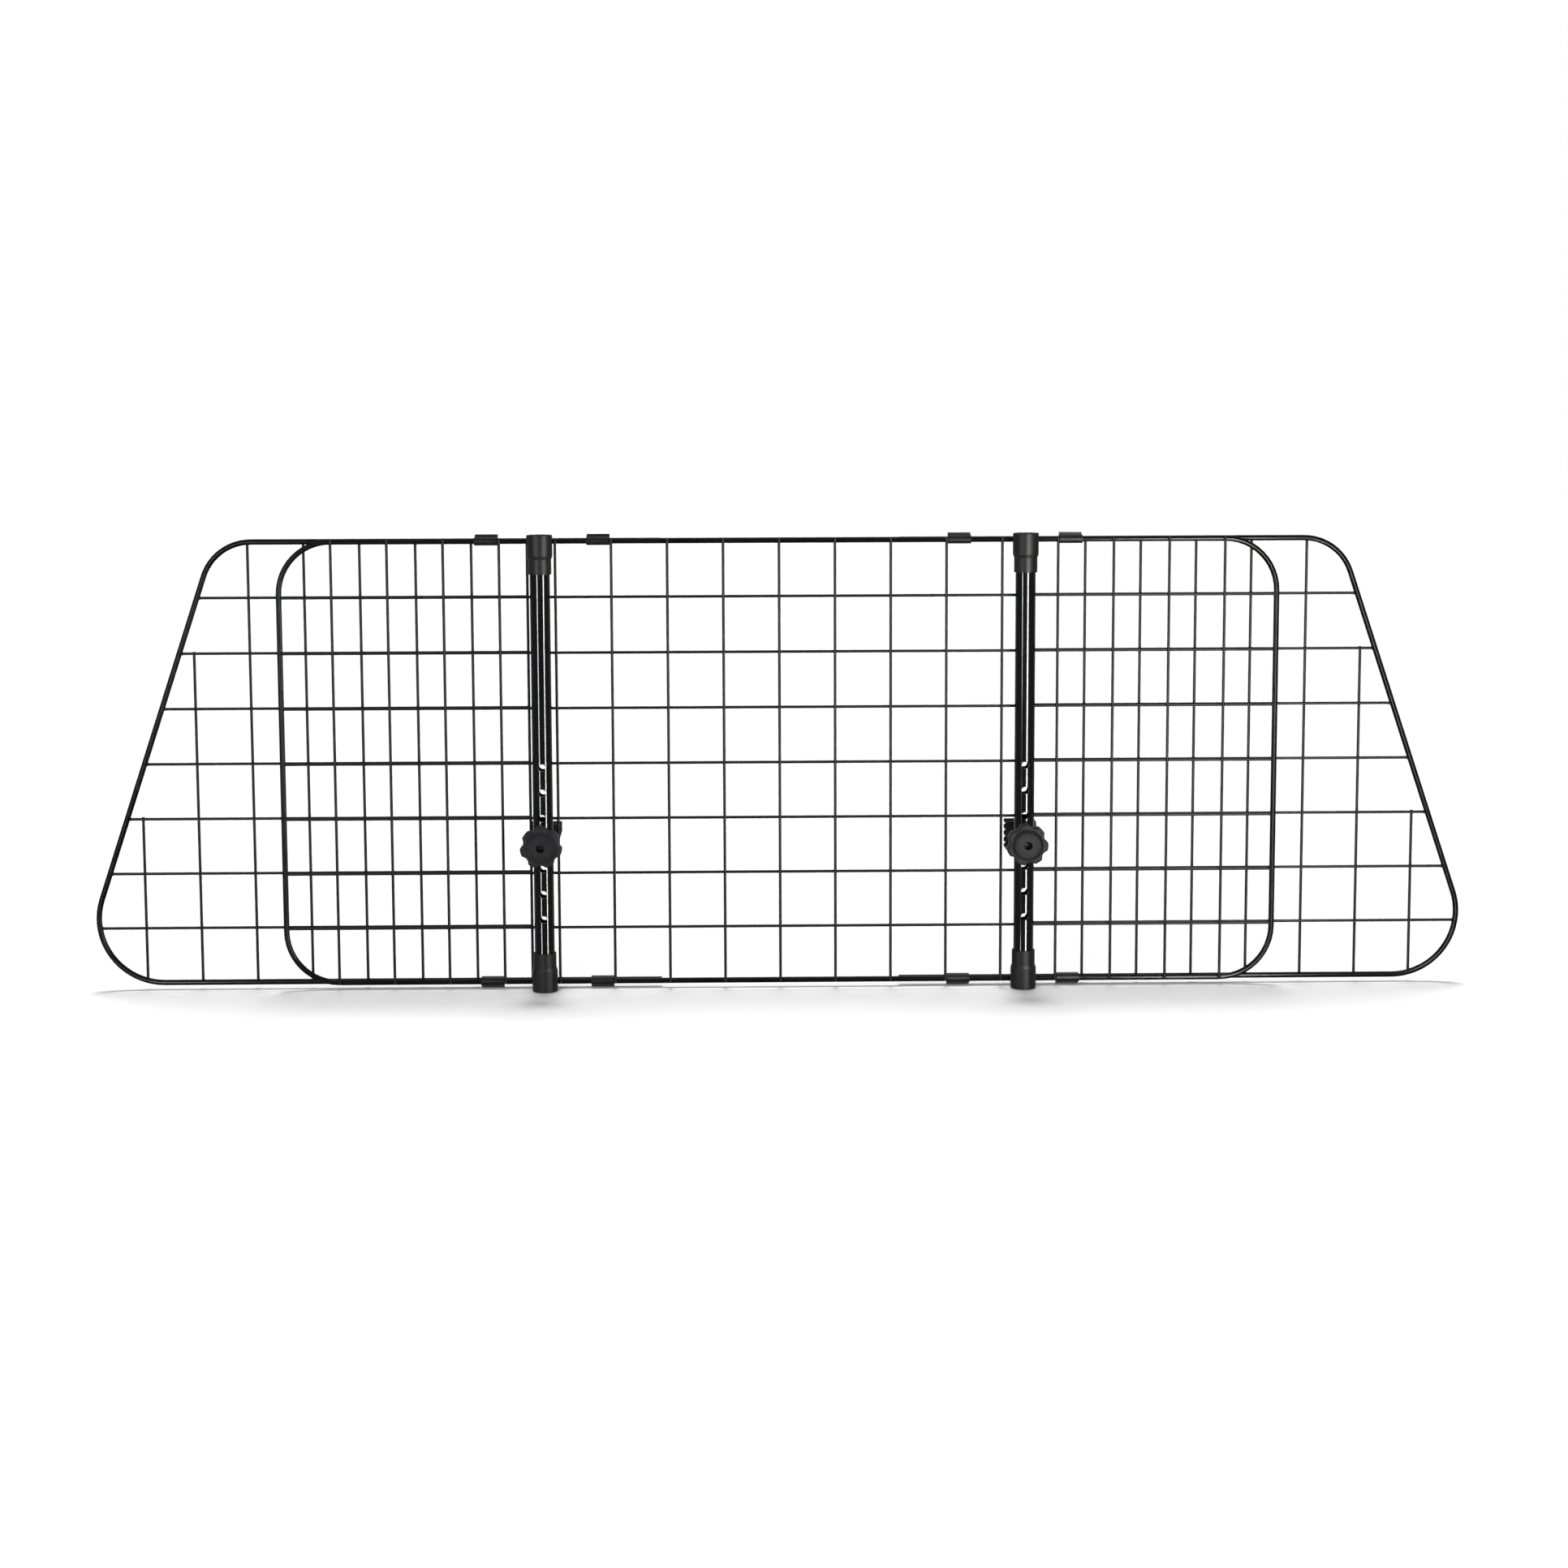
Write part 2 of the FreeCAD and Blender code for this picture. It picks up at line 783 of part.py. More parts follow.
def rear_jaw(name, x):
    """The moving jaw: it carries the bolt's head, and a fin keeps it from turning."""
    body = body_of(name)
    left, right = -size("jaw_reach"), size("jaw_reach")
    brow = size("fin_top_share") * size("jaw_height") - JAW_HALF
    fin_side = right - size("fin_thickness")
    foot = size("fin_foot")
    run = (fin_side - foot) / (right - foot)
    fin_low = -JAW_HALF + run * (brow + JAW_HALF)
    face = sketch_on(body, f"{name}_plate", "XZ_Plane", -REAR_JAW_FACE)
    add_outline(
        face,
        [(left, -JAW_HALF), (foot, -JAW_HALF), (right, brow), (right, JAW_HALF), (left, JAW_HALF)],
    )
    plate = pad(body, f"{name}_slab", face, size("rear_jaw_thickness"), reverse=True)
    doc.recompute()

    def is_corner(edge):
        return close_to(edge.Length, size("rear_jaw_thickness").value)

    rounded(body, f"{name}_corners", plate, size("jaw_round"), is_corner)
    guide = sketch_on(body, f"{name}_guide", "XZ_Plane", -REAR_JAW_FACE)
    add_outline(
        guide,
        [
            (fin_side, fin_low),
            (right, brow),
            (right, JAW_HALF - size("jaw_round")),
            (fin_side, JAW_HALF - size("jaw_round")),
        ],
    )
    reach = REAR_JAW_FACE - FRONT_JAW_FRONT - size("fin_tip_gap")
    pad(body, f"{name}_fin", guide, reach)
    doc.recompute()
    bolt_bore(body, name, size("bolt_radius") + size("bolt_play"))
    back = REAR_JAW_FACE + size("rear_jaw_thickness")
    seat = sketch_on(body, f"{name}_seat", "XZ_Plane", -back)
    half = size("bolt_head_radius") + size("bolt_play")
    flat = half * root_of(size("bolt_head_radius") * 0 + 3) / 2
    add_outline(
        seat,
        [
            (half, 0),
            (half / 2, flat),
            (-half / 2, flat),
            (-half, 0),
            (-half / 2, -flat),
            (half / 2, -flat),
        ],
    )
    pocket(body, f"{name}_head_seat", seat, size("bolt_head_height"), reverse=True)
    rod_groove(body, name)
    toothed_flank(body, name)
    place(body, x, 0, 0)
    return body


def clamp_bolt(name, x):
    """A hexagon bolt from the moving jaw's back to the eye of the knob."""
    head = doc.addObject("Part::Prism", f"{name}_head")
    bind(head, Polygon=6, Circumradius=size("bolt_head_radius"), Height=size("bolt_head_height"))
    place(head, x, BOLT_HEAD_FACE, 0, ALONG_Y)
    knob_front = KNOB_BACK - size("collar_length") - size("knob_thickness")
    tip = knob_front + size("bolt_short")
    length = BOLT_HEAD_FACE - tip
    shank = cylinder(f"{name}_shank", size("bolt_radius"), length, x, BOLT_HEAD_FACE, 0, AGAINST_Y)
    point = doc.addObject("Part::Cone", f"{name}_point")
    blunt = size("bolt_radius") - size("bolt_chamfer")
    bind(point, Radius1=size("bolt_radius"), Radius2=blunt, Height=size("bolt_chamfer"))
    place(point, x, tip, 0, AGAINST_Y)
    return joined(name, [head, shank, point])


def washer(name, x):
    disc = cylinder(
        f"{name}_disc",
        size("washer_radius"),
        size("washer_thickness"),
        x,
        WASHER_BACK,
        0,
        AGAINST_Y,
    )
    hole = cylinder(
        f"{name}_hole",
        size("hole_radius"),
        size("washer_thickness") + 2 * size("cut_overrun"),
        x,
        WASHER_BACK + size("cut_overrun"),
        0,
        AGAINST_Y,
    )
    return cut(name, disc, hole)


def knob_insert(name, x):
    """The threaded brass bush in the knob, with a plain bore in place of its thread."""
    bush = cylinder(
        f"{name}_bush", size("insert_radius"), size("insert_length"), x, KNOB_BACK, 0, AGAINST_Y
    )
    bore = cylinder(
        f"{name}_bore",
        size("bolt_radius") + size("bolt_play"),
        size("insert_length") + 2 * size("cut_overrun"),
        x,
        KNOB_BACK + size("cut_overrun"),
        0,
        AGAINST_Y,
    )
    return cut(name, bush, bore)


def knob(name, x, turn):
    """A star knob: collar, scalloped grip, and a domed crown with an open eye.

    Its first scallop is made at the top, and the knob then turned on its own axis.
    """
    body = body_of(name)
    radius = size("knob_radius")
    back = size("collar_length")
    front = back + size("knob_thickness")
    disc = sketch_on(body, f"{name}_disc", "XY_Plane", back)
    add_circle(disc, radius)
    pad(body, f"{name}_grip", disc, size("knob_thickness"))
    doc.recompute()
    scallop = sketch_on(body, f"{name}_scallop", "XY_Plane", back)
    add_circle(
        scallop,
        size("scallop_radius"),
        0,
        radius - size("scallop_depth") + size("scallop_radius"),
    )
    first = pocket(body, f"{name}_first_scallop", scallop, size("knob_thickness"), reverse=True)
    star = body.newObject("PartDesign::PolarPattern", f"{name}_scallops")
    star.Originals = [first]
    star.Axis = (disc, ["N_Axis"])
    bind(star, Angle=360.0, Occurrences=count("knob_lobes"))
    body.Tip = star
    doc.recompute()

    def is_upright(edge):
        return close_to(edge.Length, size("knob_thickness").value)

    lobes = rounded(body, f"{name}_lobes", star, size("scallop_round"), is_upright)

    def is_rim(edge):
        heights = {round(vertex.Z, 4) for vertex in edge.Vertexes}
        return heights in ({round(front.value, 4)}, {round(back.value, 4)})

    rounded(body, f"{name}_rims", lobes, size("rim_round"), is_rim)
    profile = sketch_on(body, f"{name}_crown_profile", "XZ_Plane")
    top = front + size("crown_height")
    ring = size("crown_radius") - size("crown_ring")
    groove = top - size("crown_ring_depth")
    add_outline(
        profile,
        [
            (0, 0),
            (size("collar_radius"), 0),
            (size("collar_radius"), back + size("rim_round")),
            (size("crown_foot_radius"), back + size("rim_round")),
            (size("crown_foot_radius"), front),
            (size("crown_radius"), top),
            (ring, top),
            (ring, groove),
            (ring - size("crown_ring"), groove),
            (ring - size("crown_ring"), top),
            (0, top),
        ],
    )
    crown = body.newObject("PartDesign::Revolution", f"{name}_crown")
    crown.Profile = profile
    crown.ReferenceAxis = (profile, ["V_Axis"])
    bind(crown, Angle=360.0)
    doc.recompute()
    eye = sketch_on(body, f"{name}_eye", "XY_Plane")
    add_circle(eye, size("eye_radius"))
    pocket(body, f"{name}_open_eye", eye)
    socket = sketch_on(body, f"{name}_socket", "XY_Plane")
    add_circle(socket, size("insert_radius") + size("bolt_play"))
    pocket(
        body,
        f"{name}_insert_seat",
        socket,
        size("insert_length") + size("bolt_play"),
        reverse=True,
    )
    place(body, x, KNOB_BACK, 0, AGAINST_Y * Rotation(Z_AXIS, turn.value))
    return body


def post(side):
    """One upright with its caps, and the clamp that grips a headrest rod."""
    name = SIDE_NAMES[side]
    x = POST_PLACES[side]
    return [
        tube(f"{name}_post_tube", x),
        end_cap(f"{name}_post_top_cap", x, 1, TOP_RAIL),
        end_cap(f"{name}_post_bottom_cap", x, -1, BOTTOM_RAIL),
        front_jaw(f"{name}_clamp_front_jaw", x),
        rear_jaw(f"{name}_clamp_rear_jaw", x),
        clamp_bolt(f"{name}_clamp_bolt", x),
        washer(f"{name}_clamp_washer", x),
        knob(f"{name}_clamp_knob", x, size(f"{name}_knob_turn")),
        knob_insert(f"{name}_knob_insert", x),
    ]


NODES = centre_panel() + clips() + wing(LEFT) + wing(RIGHT) + post(LEFT) + post(RIGHT)
doc.recompute()

for item in doc.Objects:
    if "Invalid" in item.State or "Error" in item.State:
        raise RuntimeError(f"{item.Name} failed: {item.State}")
for node in NODES:
    if node.Shape.isNull() or not node.Shape.isValid():
        raise RuntimeError(f"{node.Name} has no valid shape")

os.makedirs("parts", exist_ok=True)
for node in NODES:
    node.Label = node.Name
    node.Shape.exportStep(os.path.join("parts", f"{node.Label}.step"))
print(f"{len(NODES)} nodes, {sum(len(node.Shape.Solids) for node in NODES)} solids")
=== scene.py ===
import math

import bmesh
import bpy
from mathutils import Matrix, Vector


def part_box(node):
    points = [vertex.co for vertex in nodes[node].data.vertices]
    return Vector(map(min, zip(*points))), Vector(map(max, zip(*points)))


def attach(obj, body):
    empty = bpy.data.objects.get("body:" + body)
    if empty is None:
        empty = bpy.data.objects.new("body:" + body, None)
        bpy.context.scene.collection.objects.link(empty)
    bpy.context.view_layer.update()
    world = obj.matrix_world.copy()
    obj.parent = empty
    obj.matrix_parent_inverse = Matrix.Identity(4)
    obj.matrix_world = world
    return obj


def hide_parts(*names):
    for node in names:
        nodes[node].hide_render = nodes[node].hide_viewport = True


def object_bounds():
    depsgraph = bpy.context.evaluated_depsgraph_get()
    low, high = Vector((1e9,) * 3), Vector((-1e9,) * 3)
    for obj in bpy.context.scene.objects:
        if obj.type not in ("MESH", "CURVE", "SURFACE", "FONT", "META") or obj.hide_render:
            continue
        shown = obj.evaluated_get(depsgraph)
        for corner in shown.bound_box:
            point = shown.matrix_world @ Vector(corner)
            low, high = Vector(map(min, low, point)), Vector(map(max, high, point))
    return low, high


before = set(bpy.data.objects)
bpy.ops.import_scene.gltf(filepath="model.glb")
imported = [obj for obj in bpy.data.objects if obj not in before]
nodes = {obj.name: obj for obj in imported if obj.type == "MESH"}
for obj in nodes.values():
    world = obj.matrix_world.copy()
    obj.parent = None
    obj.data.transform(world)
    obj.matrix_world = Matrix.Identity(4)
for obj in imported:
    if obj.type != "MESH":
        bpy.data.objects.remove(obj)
cad_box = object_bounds()


# Frame rods: steel rod, 5 mm thick, bent cold into one loop for the centre panel
# and one open bow for each wing. The black powder coat flows out smooth and
# glossy, with only the faintest ripple.

class Level:
    """A number that varies over a surface."""

    def __init__(self, finish, socket):
        self.finish = finish
        self.socket = socket

    def combine(self, operation, first, second):
        return self.finish.add(
            "ShaderNodeMath", {"operation": operation}, {0: first, 1: second}
        )

    def __add__(self, other):
        return self.combine("ADD", self, other)

    def __radd__(self, other):
        return self.combine("ADD", other, self)

    def __mul__(self, other):
        return self.combine("MULTIPLY", self, other)

    def __rmul__(self, other):
        return self.combine("MULTIPLY", other, self)


class Finish:
    """A material, or the white surround, in the making."""

    # Levels at which a colour is all dark and all pale
    DARKEST = 0.3
    PALEST = 0.7

    def __init__(self, name, kind="materials"):
        self.material = getattr(bpy.data, kind).new(name)
        self.material.use_nodes = True
        self.tree = self.material.node_tree
        self.tree.nodes.clear()

    def add(self, kind, settings, sockets, output=0):
        """Add one node with its settings and inputs, and give back one output."""
        node = self.tree.nodes.new(kind)
        for name, value in settings.items():
            if name == "stops":
                low, high = node.color_ramp.elements
                (low.position, low.color), (high.position, high.color) = value
            else:
                setattr(node, name, value)
        for name, value in sockets.items():
            if isinstance(value, Level):
                self.tree.links.new(value.socket, node.inputs[name])
            else:
                node.inputs[name].default_value = value
        return Level(self, node.outputs[output]) if node.outputs else None

    def noise(self, per_metre, detail=2, stretch=(1, 1, 1)):
        """A soft cloud from nought to one; a stretch under 1 draws it out that way."""
        spot = self.add("ShaderNodeTexCoord", {}, {}, "Object")
        spot = self.add("ShaderNodeMapping", {}, {"Vector": spot, "Scale": stretch})
        sockets = {"Vector": spot, "Scale": per_metre, "Detail": detail}
        return self.add("ShaderNodeTexNoise", {}, sockets, "Fac")

    def between(self, level, dark, pale):
        """A colour that goes from dark to pale as a level goes up."""
        stops = ((self.DARKEST, (*dark, 1)), (self.PALEST, (*pale, 1)))
        return self.add("ShaderNodeValToRGB", {"stops": stops}, {"Fac": level})

    def bump(self, height, millimetres):
        """Make a level stand out from the surface by this much."""
        sockets = {"Height": height, "Distance": millimetres / 1000, "Strength": 1}
        return self.add("ShaderNodeBump", {}, sockets)

    def show(self, output, shader):
        """Lead a shader to the output and give back what was made."""
        self.add(output, {"target": "ALL"}, {"Surface": shader})
        return self.material

    def done(self, **sockets):
        """Finish a material from the values and levels of its shader."""
        sockets = {name.replace("_", " "): value for name, value in sockets.items()}
        shader = self.add("ShaderNodeBsdfPrincipled", {}, sockets)
        return self.show("ShaderNodeOutputMaterial", shader)


def coat(material, *names):
    """Give CAD nodes their finish."""
    for name in names:
        for place in nodes[name].material_slots:
            place.material = material


glossy = Finish("glossy_powder_coat")
ripple = glossy.noise(per_metre=500)
drift = glossy.noise(per_metre=35)
rod_coat = glossy.done(
    Base_Color=glossy.between(
        drift, dark=(0.004, 0.004, 0.0045), pale=(0.009, 0.009, 0.0095)
    ),
    Roughness=0.16 + 0.07 * drift + 0.03 * ripple,
    Normal=glossy.bump(ripple, millimetres=0.004),
    Specular_IOR_Level=0.015,
)
coat(rod_coat, "centre_frame", "left_wing_frame", "right_wing_frame")


# Mesh wires: hard-drawn wire, 2.5 mm thick, laid out in cells of 50 mm. The coat is
# thinner on the wire than on the rods, so it dries a little duller.

satin = Finish("satin_powder_coat")
grain = satin.noise(per_metre=1100)
patch = satin.noise(per_metre=22)
wire_coat = satin.done(
    Base_Color=satin.between(
        patch, dark=(0.004, 0.004, 0.0045), pale=(0.01, 0.01, 0.011)
    ),
    Roughness=0.36 + 0.12 * patch + 0.05 * grain,
    Normal=satin.bump(grain, millimetres=0.005),
    Specular_IOR_Level=0.03,
)
for panel in ("centre", "left_wing", "right_wing"):
    coat(wire_coat, f"{panel}_uprights", f"{panel}_cross_wires")


# Welds: every crossing is resistance welded. The wires sink into each other and
# squeeze out a small round of metal, which the coat covers like the rest.

X, Y, Z = 0, 1, 2
CELL = 0.05
ROWS = 7
CENTRE_COLUMNS = 17
WING_COLUMNS = 8
WIRE_RADIUS = 0.00125
# A point this near to a wire's middle line is on that wire
WITHIN_WIRE = 0.002
# Where a bead sits on the way from the upright's middle to the rail's
RAIL_WELD_SHARE = 0.45 / 1.3
# How far a bead on a side rod is back from the end of its cross wire
SIDE_WELD_INSET = 0.001
# Half of each bead's width, depth and height
WIRE_WELD = (0.0016, 0.0012, 0.0016)
RAIL_WELD = (0.0018, 0.001, 0.0014)
SIDE_WELD = (0.0011, 0.0017, 0.0017)


def placed(name, data):
    """Put a mesh, a lamp or a camera in the scene."""
    thing = bpy.data.objects.new(name, data)
    bpy.context.scene.collection.objects.link(thing)
    return thing


def shaped(name, form, material):
    """Make a worked form into one object with its finish."""
    mesh = bpy.data.meshes.new(name)
    form.to_mesh(mesh)
    form.free()
    mesh.materials.append(material)
    return placed(name, mesh)


def weld_beads(name, panel, spots):
    """One mesh of flattened beads, which rides with its panel."""
    beads = bmesh.new()
    for spot, size in spots:
        place = Matrix.Translation(spot) @ Matrix.Diagonal((*size, 1))
        bmesh.ops.create_icosphere(beads, subdivisions=2, radius=1, matrix=place)
    for face in beads.faces:
        face.smooth = True
    piece = shaped(name, beads, wire_coat)
    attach(piece, panel)


def middle(node, axis):
    low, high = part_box(node)
    return (low[axis] + high[axis]) / 2


def wire_ends(node, across, along, place):
    """Where the one wire of a node that lies at this place starts and ends."""
    piece = nodes[node]
    spots = [piece.matrix_world @ vertex.co for vertex in piece.data.vertices]
    reach = [spot[along] for spot in spots if abs(spot[across] - place) < WITHIN_WIRE]
    return min(reach), max(reach)


def weld_spots(prefix, columns, welded_sides):
    """Bead places for one panel: wire on wire, wire on rail, wire on side rod."""
    uprights, cross_wires = f"{prefix}_uprights", f"{prefix}_cross_wires"
    upright_y, cross_y = middle(uprights, Y), middle(cross_wires, Y)
    rod_y = middle(f"{prefix}_frame", Y)
    wire_weld_y = (upright_y + cross_y) / 2
    rail_weld_y = upright_y + RAIL_WELD_SHARE * (rod_y - upright_y)
    low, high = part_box(f"{prefix}_frame")
    rod_radius = (high.y - low.y) / 2
    rails = low.z + rod_radius, high.z - rod_radius
    rows = [rails[0] + CELL * step for step in range(1, ROWS + 1)]
    spots = []
    for x in columns:
        bottom, top = wire_ends(uprights, X, Z, x)
        for z in rows:
            if bottom < z < top:
                spots.append(((x, wire_weld_y, z), WIRE_WELD))
        for z in rails:
            if bottom < z < top:
                spots.append(((x, rail_weld_y, z), RAIL_WELD))
    for z in rows:
        ends = dict(zip((-1, 1), wire_ends(cross_wires, Z, X, z)))
        for side in welded_sides:
            x = ends[side] - side * SIDE_WELD_INSET
            spots.append(((x, cross_y, z), SIDE_WELD))
    return spots


half = CENTRE_COLUMNS // 2
columns = [CELL * step for step in range(-half, half + 1)]
weld_beads("centre_weld_beads", "centre_panel", weld_spots("centre", columns, (-1, 1)))
for side, sign in (("left", -1), ("right", 1)):
    low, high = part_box(f"{side}_wing_uprights")
    first = (high.x if sign < 0 else low.x) + sign * WIRE_RADIUS
    columns = [first + sign * CELL * step for step in range(WING_COLUMNS)]
    spots = weld_spots(f"{side}_wing", columns, (sign,))
    weld_beads(f"{side}_wing_weld_beads", f"{side}_wing", spots)


# Sheet clips: strips of 1 mm steel bent round both rails, coated before they are
# fitted. The slides have rubbed their coat to a dull satin.

rubbed = Finish("rubbed_satin_coat")
wear = rubbed.noise(per_metre=260, detail=4)
clip_coat = rubbed.done(
    Base_Color=rubbed.between(
        wear, dark=(0.005, 0.005, 0.006), pale=(0.015, 0.015, 0.016)
    ),
    Roughness=0.34 + 0.16 * wear,
    Normal=rubbed.bump(wear, millimetres=0.015),
    Specular_IOR_Level=0.03,
)
for rail in ("top", "bottom"):
    for side in ("left", "right"):
        coat(clip_coat, f"{rail}_{side}_inner_clip", f"{rail}_{side}_outer_clip")


# Upright tubes: drawn steel tube, 18 mm across, punched for the clamp bolt before it
# was coated. It is the smoothest and glossiest part of the guard.

bright = Finish("glossy_tube_coat")
flow = bright.noise(per_metre=300, detail=1, stretch=(1, 1, 0.35))
draw_lines = bright.noise(per_metre=420, stretch=(1, 1, 0.02))
tube_coat = bright.done(
    Base_Color=bright.between(
        draw_lines, dark=(0.004, 0.004, 0.0045), pale=(0.008, 0.008, 0.008)
    ),
    Roughness=0.07 + 0.04 * draw_lines + 0.02 * flow,
    Normal=bright.bump(flow, millimetres=0.004),
    Specular_IOR_Level=0.05,
)
coat(tube_coat, "left_post_tube", "right_post_tube")


# End caps: injection-moulded in dark plastic with a fine matt grain, and pushed on
# the tubes. The mould was drawn off lengthways, which left faint streaks.

capping = Finish("matt_cap_plastic")
spark = capping.noise(per_metre=2600)
streaks = capping.noise(per_metre=300, detail=3, stretch=(1, 1, 0.06))
cap_plastic = capping.done(
    Base_Color=capping.between(
        streaks, dark=(0.008, 0.008, 0.009), pale=(0.026, 0.026, 0.027)
    ),
    Roughness=0.4 + 0.12 * spark,
    Normal=capping.bump(spark + 0.8 * streaks, millimetres=0.02),
    Specular_IOR_Level=0.03,
)
for side in ("left", "right"):
    coat(cap_plastic, f"{side}_post_top_cap", f"{side}_post_bottom_cap")


# Star knobs: moulded in dark grey plastic with a satin skin, a little mottled where
# the plastic flowed, and pressed over a threaded brass bush.

moulded = Finish("dark_knob_plastic")
skin = moulded.noise(per_metre=1900)
cloud = moulded.noise(per_metre=85, detail=3)
knob_plastic = moulded.done(
    Base_Color=moulded.between(
        cloud, dark=(0.019, 0.019, 0.021), pale=(0.034, 0.034, 0.036)
    ),
    Roughness=0.4 + 0.12 * skin + 0.06 * cloud,
    Normal=moulded.bump(skin, millimetres=0.02),
    Specular_IOR_Level=0.016,
)
# The bush is given a dark brown, far below real brass, as painted shade: it sits deep in
# the knob's bore, which should look dark.
turned = Finish("brass_darkened_as_bore_shade")
rings = turned.noise(per_metre=2200, detail=1, stretch=(0.1, 1, 0.1))
brass = turned.done(
    Base_Color=turned.between(
        rings, dark=(0.12, 0.085, 0.035), pale=(0.24, 0.17, 0.08)
    ),
    Roughness=0.5 + 0.2 * rings,
    Normal=turned.bump(rings, millimetres=0.02),
    Specular_IOR_Level=0.04,
)
for side in ("left", "right"):
    coat(knob_plastic, f"{side}_clamp_knob")
    coat(brass, f"{side}_knob_insert")


# Jaws: two black plastic blocks on the bolt, behind the wires. They are ribbed and
# hidden, so their mould was left coarser than the one for the knobs.

coarse = Finish("coarse_jaw_plastic")
pits = coarse.noise(per_metre=1500, detail=4)
jaw_plastic = coarse.done(
    Base_Color=coarse.between(
        pits, dark=(0.009, 0.009, 0.01), pale=(0.02, 0.02, 0.021)
    ),
    Roughness=0.55 + 0.2 * pits,
    Normal=coarse.bump(pits, millimetres=0.04),
    Specular_IOR_Level=0.02,
)
for side in ("left", "right"):
    coat(jaw_plastic, f"{side}_clamp_front_jaw", f"{side}_clamp_rear_jaw")


# Bolts and washers: zinc-plated steel. A hexagon bolt runs from the moving jaw
# through the tube into the knob, and its front half is threaded. Between knob and
# tube sits a washer.

# The zinc is given a dark grey, not the pale metal of real plate, as painted shade: the
# bolt's end sits deep in the knob's bore, and the washer under the knob.
plated = Finish("zinc_darkened_as_bore_shade")
haze = plated.noise(per_metre=380, detail=4)
lines = plated.noise(per_metre=3000, detail=1, stretch=(1, 0.05, 1))
zinc = plated.done(
    Base_Color=plated.between(haze, dark=(0.1, 0.1, 0.105), pale=(0.2, 0.2, 0.21)),
    Roughness=0.42 + 0.16 * haze + 0.06 * lines,
    Normal=plated.bump(lines, millimetres=0.015),
    Specular_IOR_Level=0.06,
)
HEAD_CORNERS = 6
# Each edge's distance from the head's outer end, and its share of the full width
HEAD_EDGES = ((0.004, 0.94), (0.0037, 1), (0.0007, 1), (0, 0.86))
SHANK_RADIUS = 0.003
THREADED_LENGTH = 0.03
THREAD_PITCH = 0.001
THREAD_DEPTH = 0.0006
THREAD_RUNOUT = 0.0006
TIP_CHAMFER = 0.0009
POINTS_AROUND = 24
RINGS_PER_PITCH = 6


def bolt_ring(bolt, x, y, radii):
    """A ring of points round the bolt's axis, one for each radius."""
    ring = []
    for corner, radius in enumerate(radii):
        turn = 2 * math.pi * corner / len(radii)
        spot = (x + radius * math.cos(turn), y, radius * math.sin(turn))
        ring.append(bolt.verts.new(spot))
    return ring


def skin_rings(bolt, rings):
    """Faces from each ring to the next, and one over each end."""
    for near, far in zip(rings, rings[1:]):
        for corner in range(len(near)):
            after = (corner + 1) % len(near)
            face = (near[corner], near[after], far[after], far[corner])
            bolt.faces.new(face)
    bolt.faces.new(rings[0])
    bolt.faces.new(reversed(rings[-1]))


def thread_radius(y, tip, turn):
    """How far the thread stands out at one place along the bolt and round it."""
    phase = (y / THREAD_PITCH + turn / (2 * math.pi)) % 1
    depth = THREAD_DEPTH * (1 - abs(2 * phase - 1))
    chamfer = TIP_CHAMFER - (y - tip)
    return SHANK_RADIUS - max(depth, chamfer)


for side in ("left", "right"):
    node = f"{side}_clamp_bolt"
    low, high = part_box(node)
    x = middle(node, X)
    tip, end = low.y, high.y
    head_radius = (high.x - low.x) / 2
    bolt = bmesh.new()
    head = []
    for inwards, share in HEAD_EDGES:
        radii = [head_radius * share] * HEAD_CORNERS
        head.append(bolt_ring(bolt, x, end - inwards, radii))
    skin_rings(bolt, head)
    plain = [SHANK_RADIUS] * POINTS_AROUND
    under_head = end - HEAD_EDGES[0][0]
    shank = [
        bolt_ring(bolt, x, under_head, plain),
        bolt_ring(bolt, x, tip + THREADED_LENGTH + THREAD_RUNOUT, plain),
    ]
    turns = [2 * math.pi * point / POINTS_AROUND for point in range(POINTS_AROUND)]
    last = RINGS_PER_PITCH * round(THREADED_LENGTH / THREAD_PITCH)
    for step in range(last, -1, -1):
        y = tip + THREADED_LENGTH * step / last
        radii = [thread_radius(y, tip, turn) for turn in turns]
        shank.append(bolt_ring(bolt, x, y, radii))
    skin_rings(bolt, shank)
    bmesh.ops.recalc_face_normals(bolt, faces=bolt.faces)
    piece = shaped(f"{side}_threaded_bolt", bolt, zinc)
    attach(piece, f"{side}_jaw")
    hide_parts(node)
    coat(zinc, f"{side}_clamp_washer")


# Floor and light: a white floor just under the caps and a white surround. Light falls
# from above and a little behind, and softly from the left front. Two tall strips,
# which only gloss shows, draw the streaks down the tubes.

FLOOR_GAP = 0.0004
FLOOR_HALF_WIDTH = 12
FLOOR_MIDDLE_Y = 4
SOFT_FILL = 0.22
STRIP_HEIGHT = -0.09
STRIP_LENGTH = 0.95


def seen_plainly(finish):
    """One for a ray from the camera, a mirror or a glass, and nought for fill light."""
    rays = ("Is Camera Ray", "Is Glossy Ray", "Is Transmission Ray")
    camera, mirror, glass = (
        finish.add("ShaderNodeLightPath", {}, {}, ray) for ray in rays
    )
    return camera + mirror + glass


def white_surface(finish, base, glow):
    """Plain white that keeps a shadow: part lit, part its own light."""
    lit = finish.add("ShaderNodeBsdfDiffuse", {}, {"Color": (base, base, base, 1)})
    strength = glow * seen_plainly(finish)
    own = finish.add("ShaderNodeEmission", {}, {"Strength": strength})
    both = finish.add("ShaderNodeAddShader", {}, {0: lit, 1: own})
    return finish.show("ShaderNodeOutputMaterial", both)


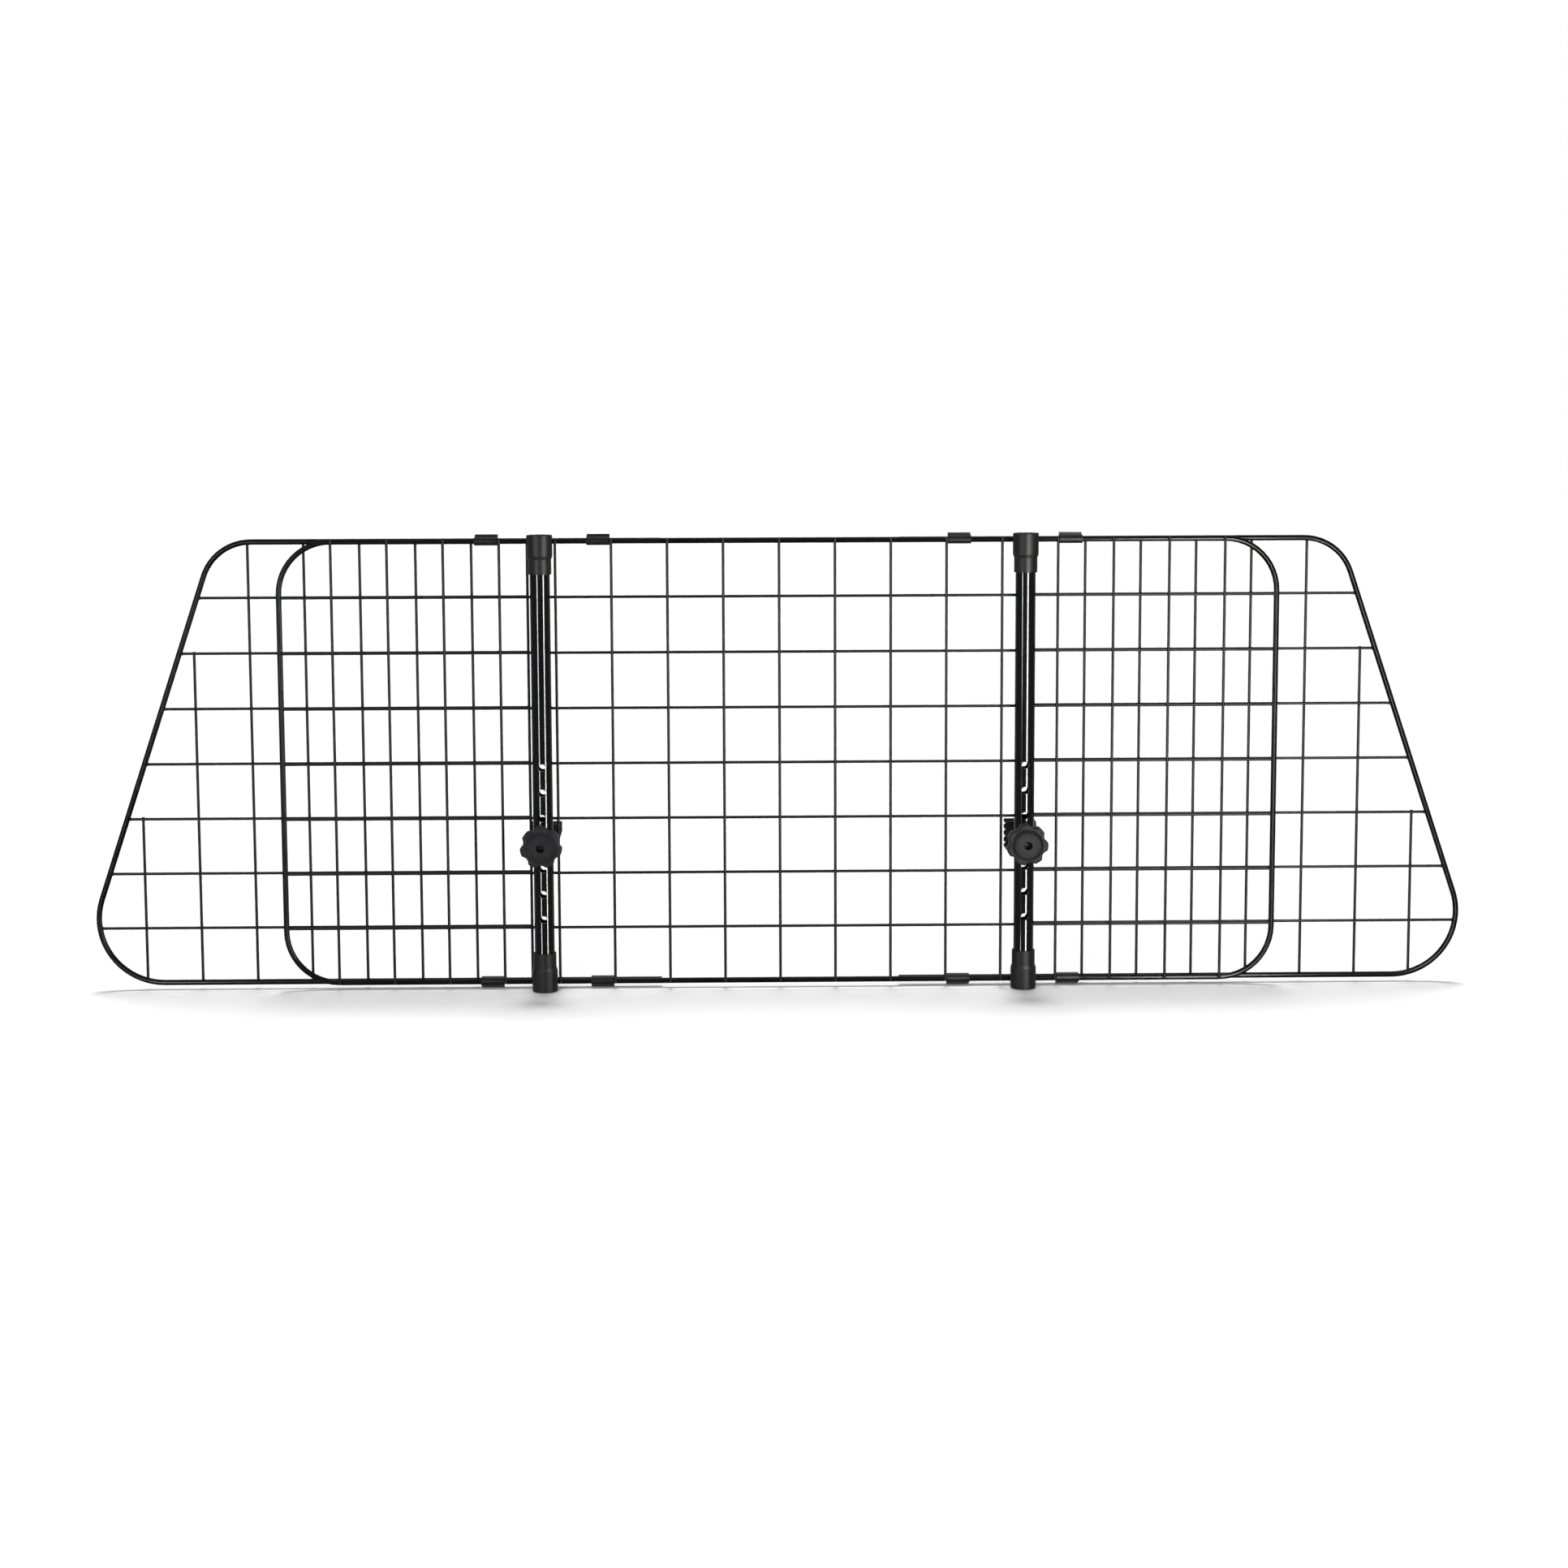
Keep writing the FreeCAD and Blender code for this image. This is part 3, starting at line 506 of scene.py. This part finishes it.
def lamp(name, kind, place, target, **settings):
    light = bpy.data.lights.new(name, kind)
    for setting, value in settings.items():
        setattr(light, setting, value)
    holder = placed(name, light)
    holder.location = place
    aim = Vector(target) - Vector(place)
    holder.rotation_euler = aim.to_track_quat("-Z", "Y").to_euler()
    holder.visible_camera = False
    return holder


floor = bmesh.new()
floor_middle = Matrix.Translation((0, FLOOR_MIDDLE_Y, cad_box[0][2] - FLOOR_GAP))
bmesh.ops.create_grid(
    floor, x_segments=1, y_segments=1, size=FLOOR_HALF_WIDTH, matrix=floor_middle
)
floor_white = white_surface(Finish("white_floor"), base=0.85, glow=0.07)
ground = shaped("floor", floor, floor_white)
ground.visible_glossy = False

surround = Finish("white_surround", "worlds")
strength = SOFT_FILL + (1 - SOFT_FILL) * seen_plainly(surround)
white = surround.add(
    "ShaderNodeBackground", {}, {"Color": (1, 1, 1, 1), "Strength": strength}
)
bpy.context.scene.world = surround.show("ShaderNodeOutputWorld", white)

lamp(
    "from_above",
    "SUN",
    place=(0, 0.42, 2),
    target=(0, 0, 0),
    energy=2.5,
    angle=math.radians(13),
)
lamp(
    "from_the_front",
    "SUN",
    place=(-0.5, -1.5, 1.2),
    target=(0, 0, 0),
    energy=0.9,
    angle=math.radians(60),
)
for name, x, y, width, watts, tint in (
    ("left_strip", -0.87, -1.29, 0.17, 150, (0.93, 0.96, 1)),
    ("right_strip", 0.51, -0.74, 0.19, 190, (1, 0.97, 0.9)),
):
    strip = lamp(
        name,
        "AREA",
        place=(x, y, STRIP_HEIGHT),
        target=(0, 0, STRIP_HEIGHT),
        shape="RECTANGLE",
        size=width,
        size_y=STRIP_LENGTH,
        energy=watts,
        color=tint,
    )
    strip.visible_diffuse = False


# Camera: set up on the boot side, a little above the guard, with a lens fitted to
# where the wires cross in the photograph.

STANDPOINT = (-0.0315, -2.3, 0.3667)
YAW, PITCH, ROLL = 0.0156, 0.106, 0.0036

lens = bpy.data.cameras.new("camera")
lens.lens = 58.45
lens.sensor_width = 36
lens.shift_y = -0.0518
camera = placed("camera", lens)
camera.matrix_world = (
    Matrix.Translation(STANDPOINT)
    @ Matrix.Rotation(-YAW, 4, "Z")
    @ Matrix.Rotation(math.pi / 2 - PITCH, 4, "X")
    @ Matrix.Rotation(-ROLL, 4, "Z")
)
bpy.context.scene.camera = camera
bpy.context.scene.view_settings.view_transform = "Standard"
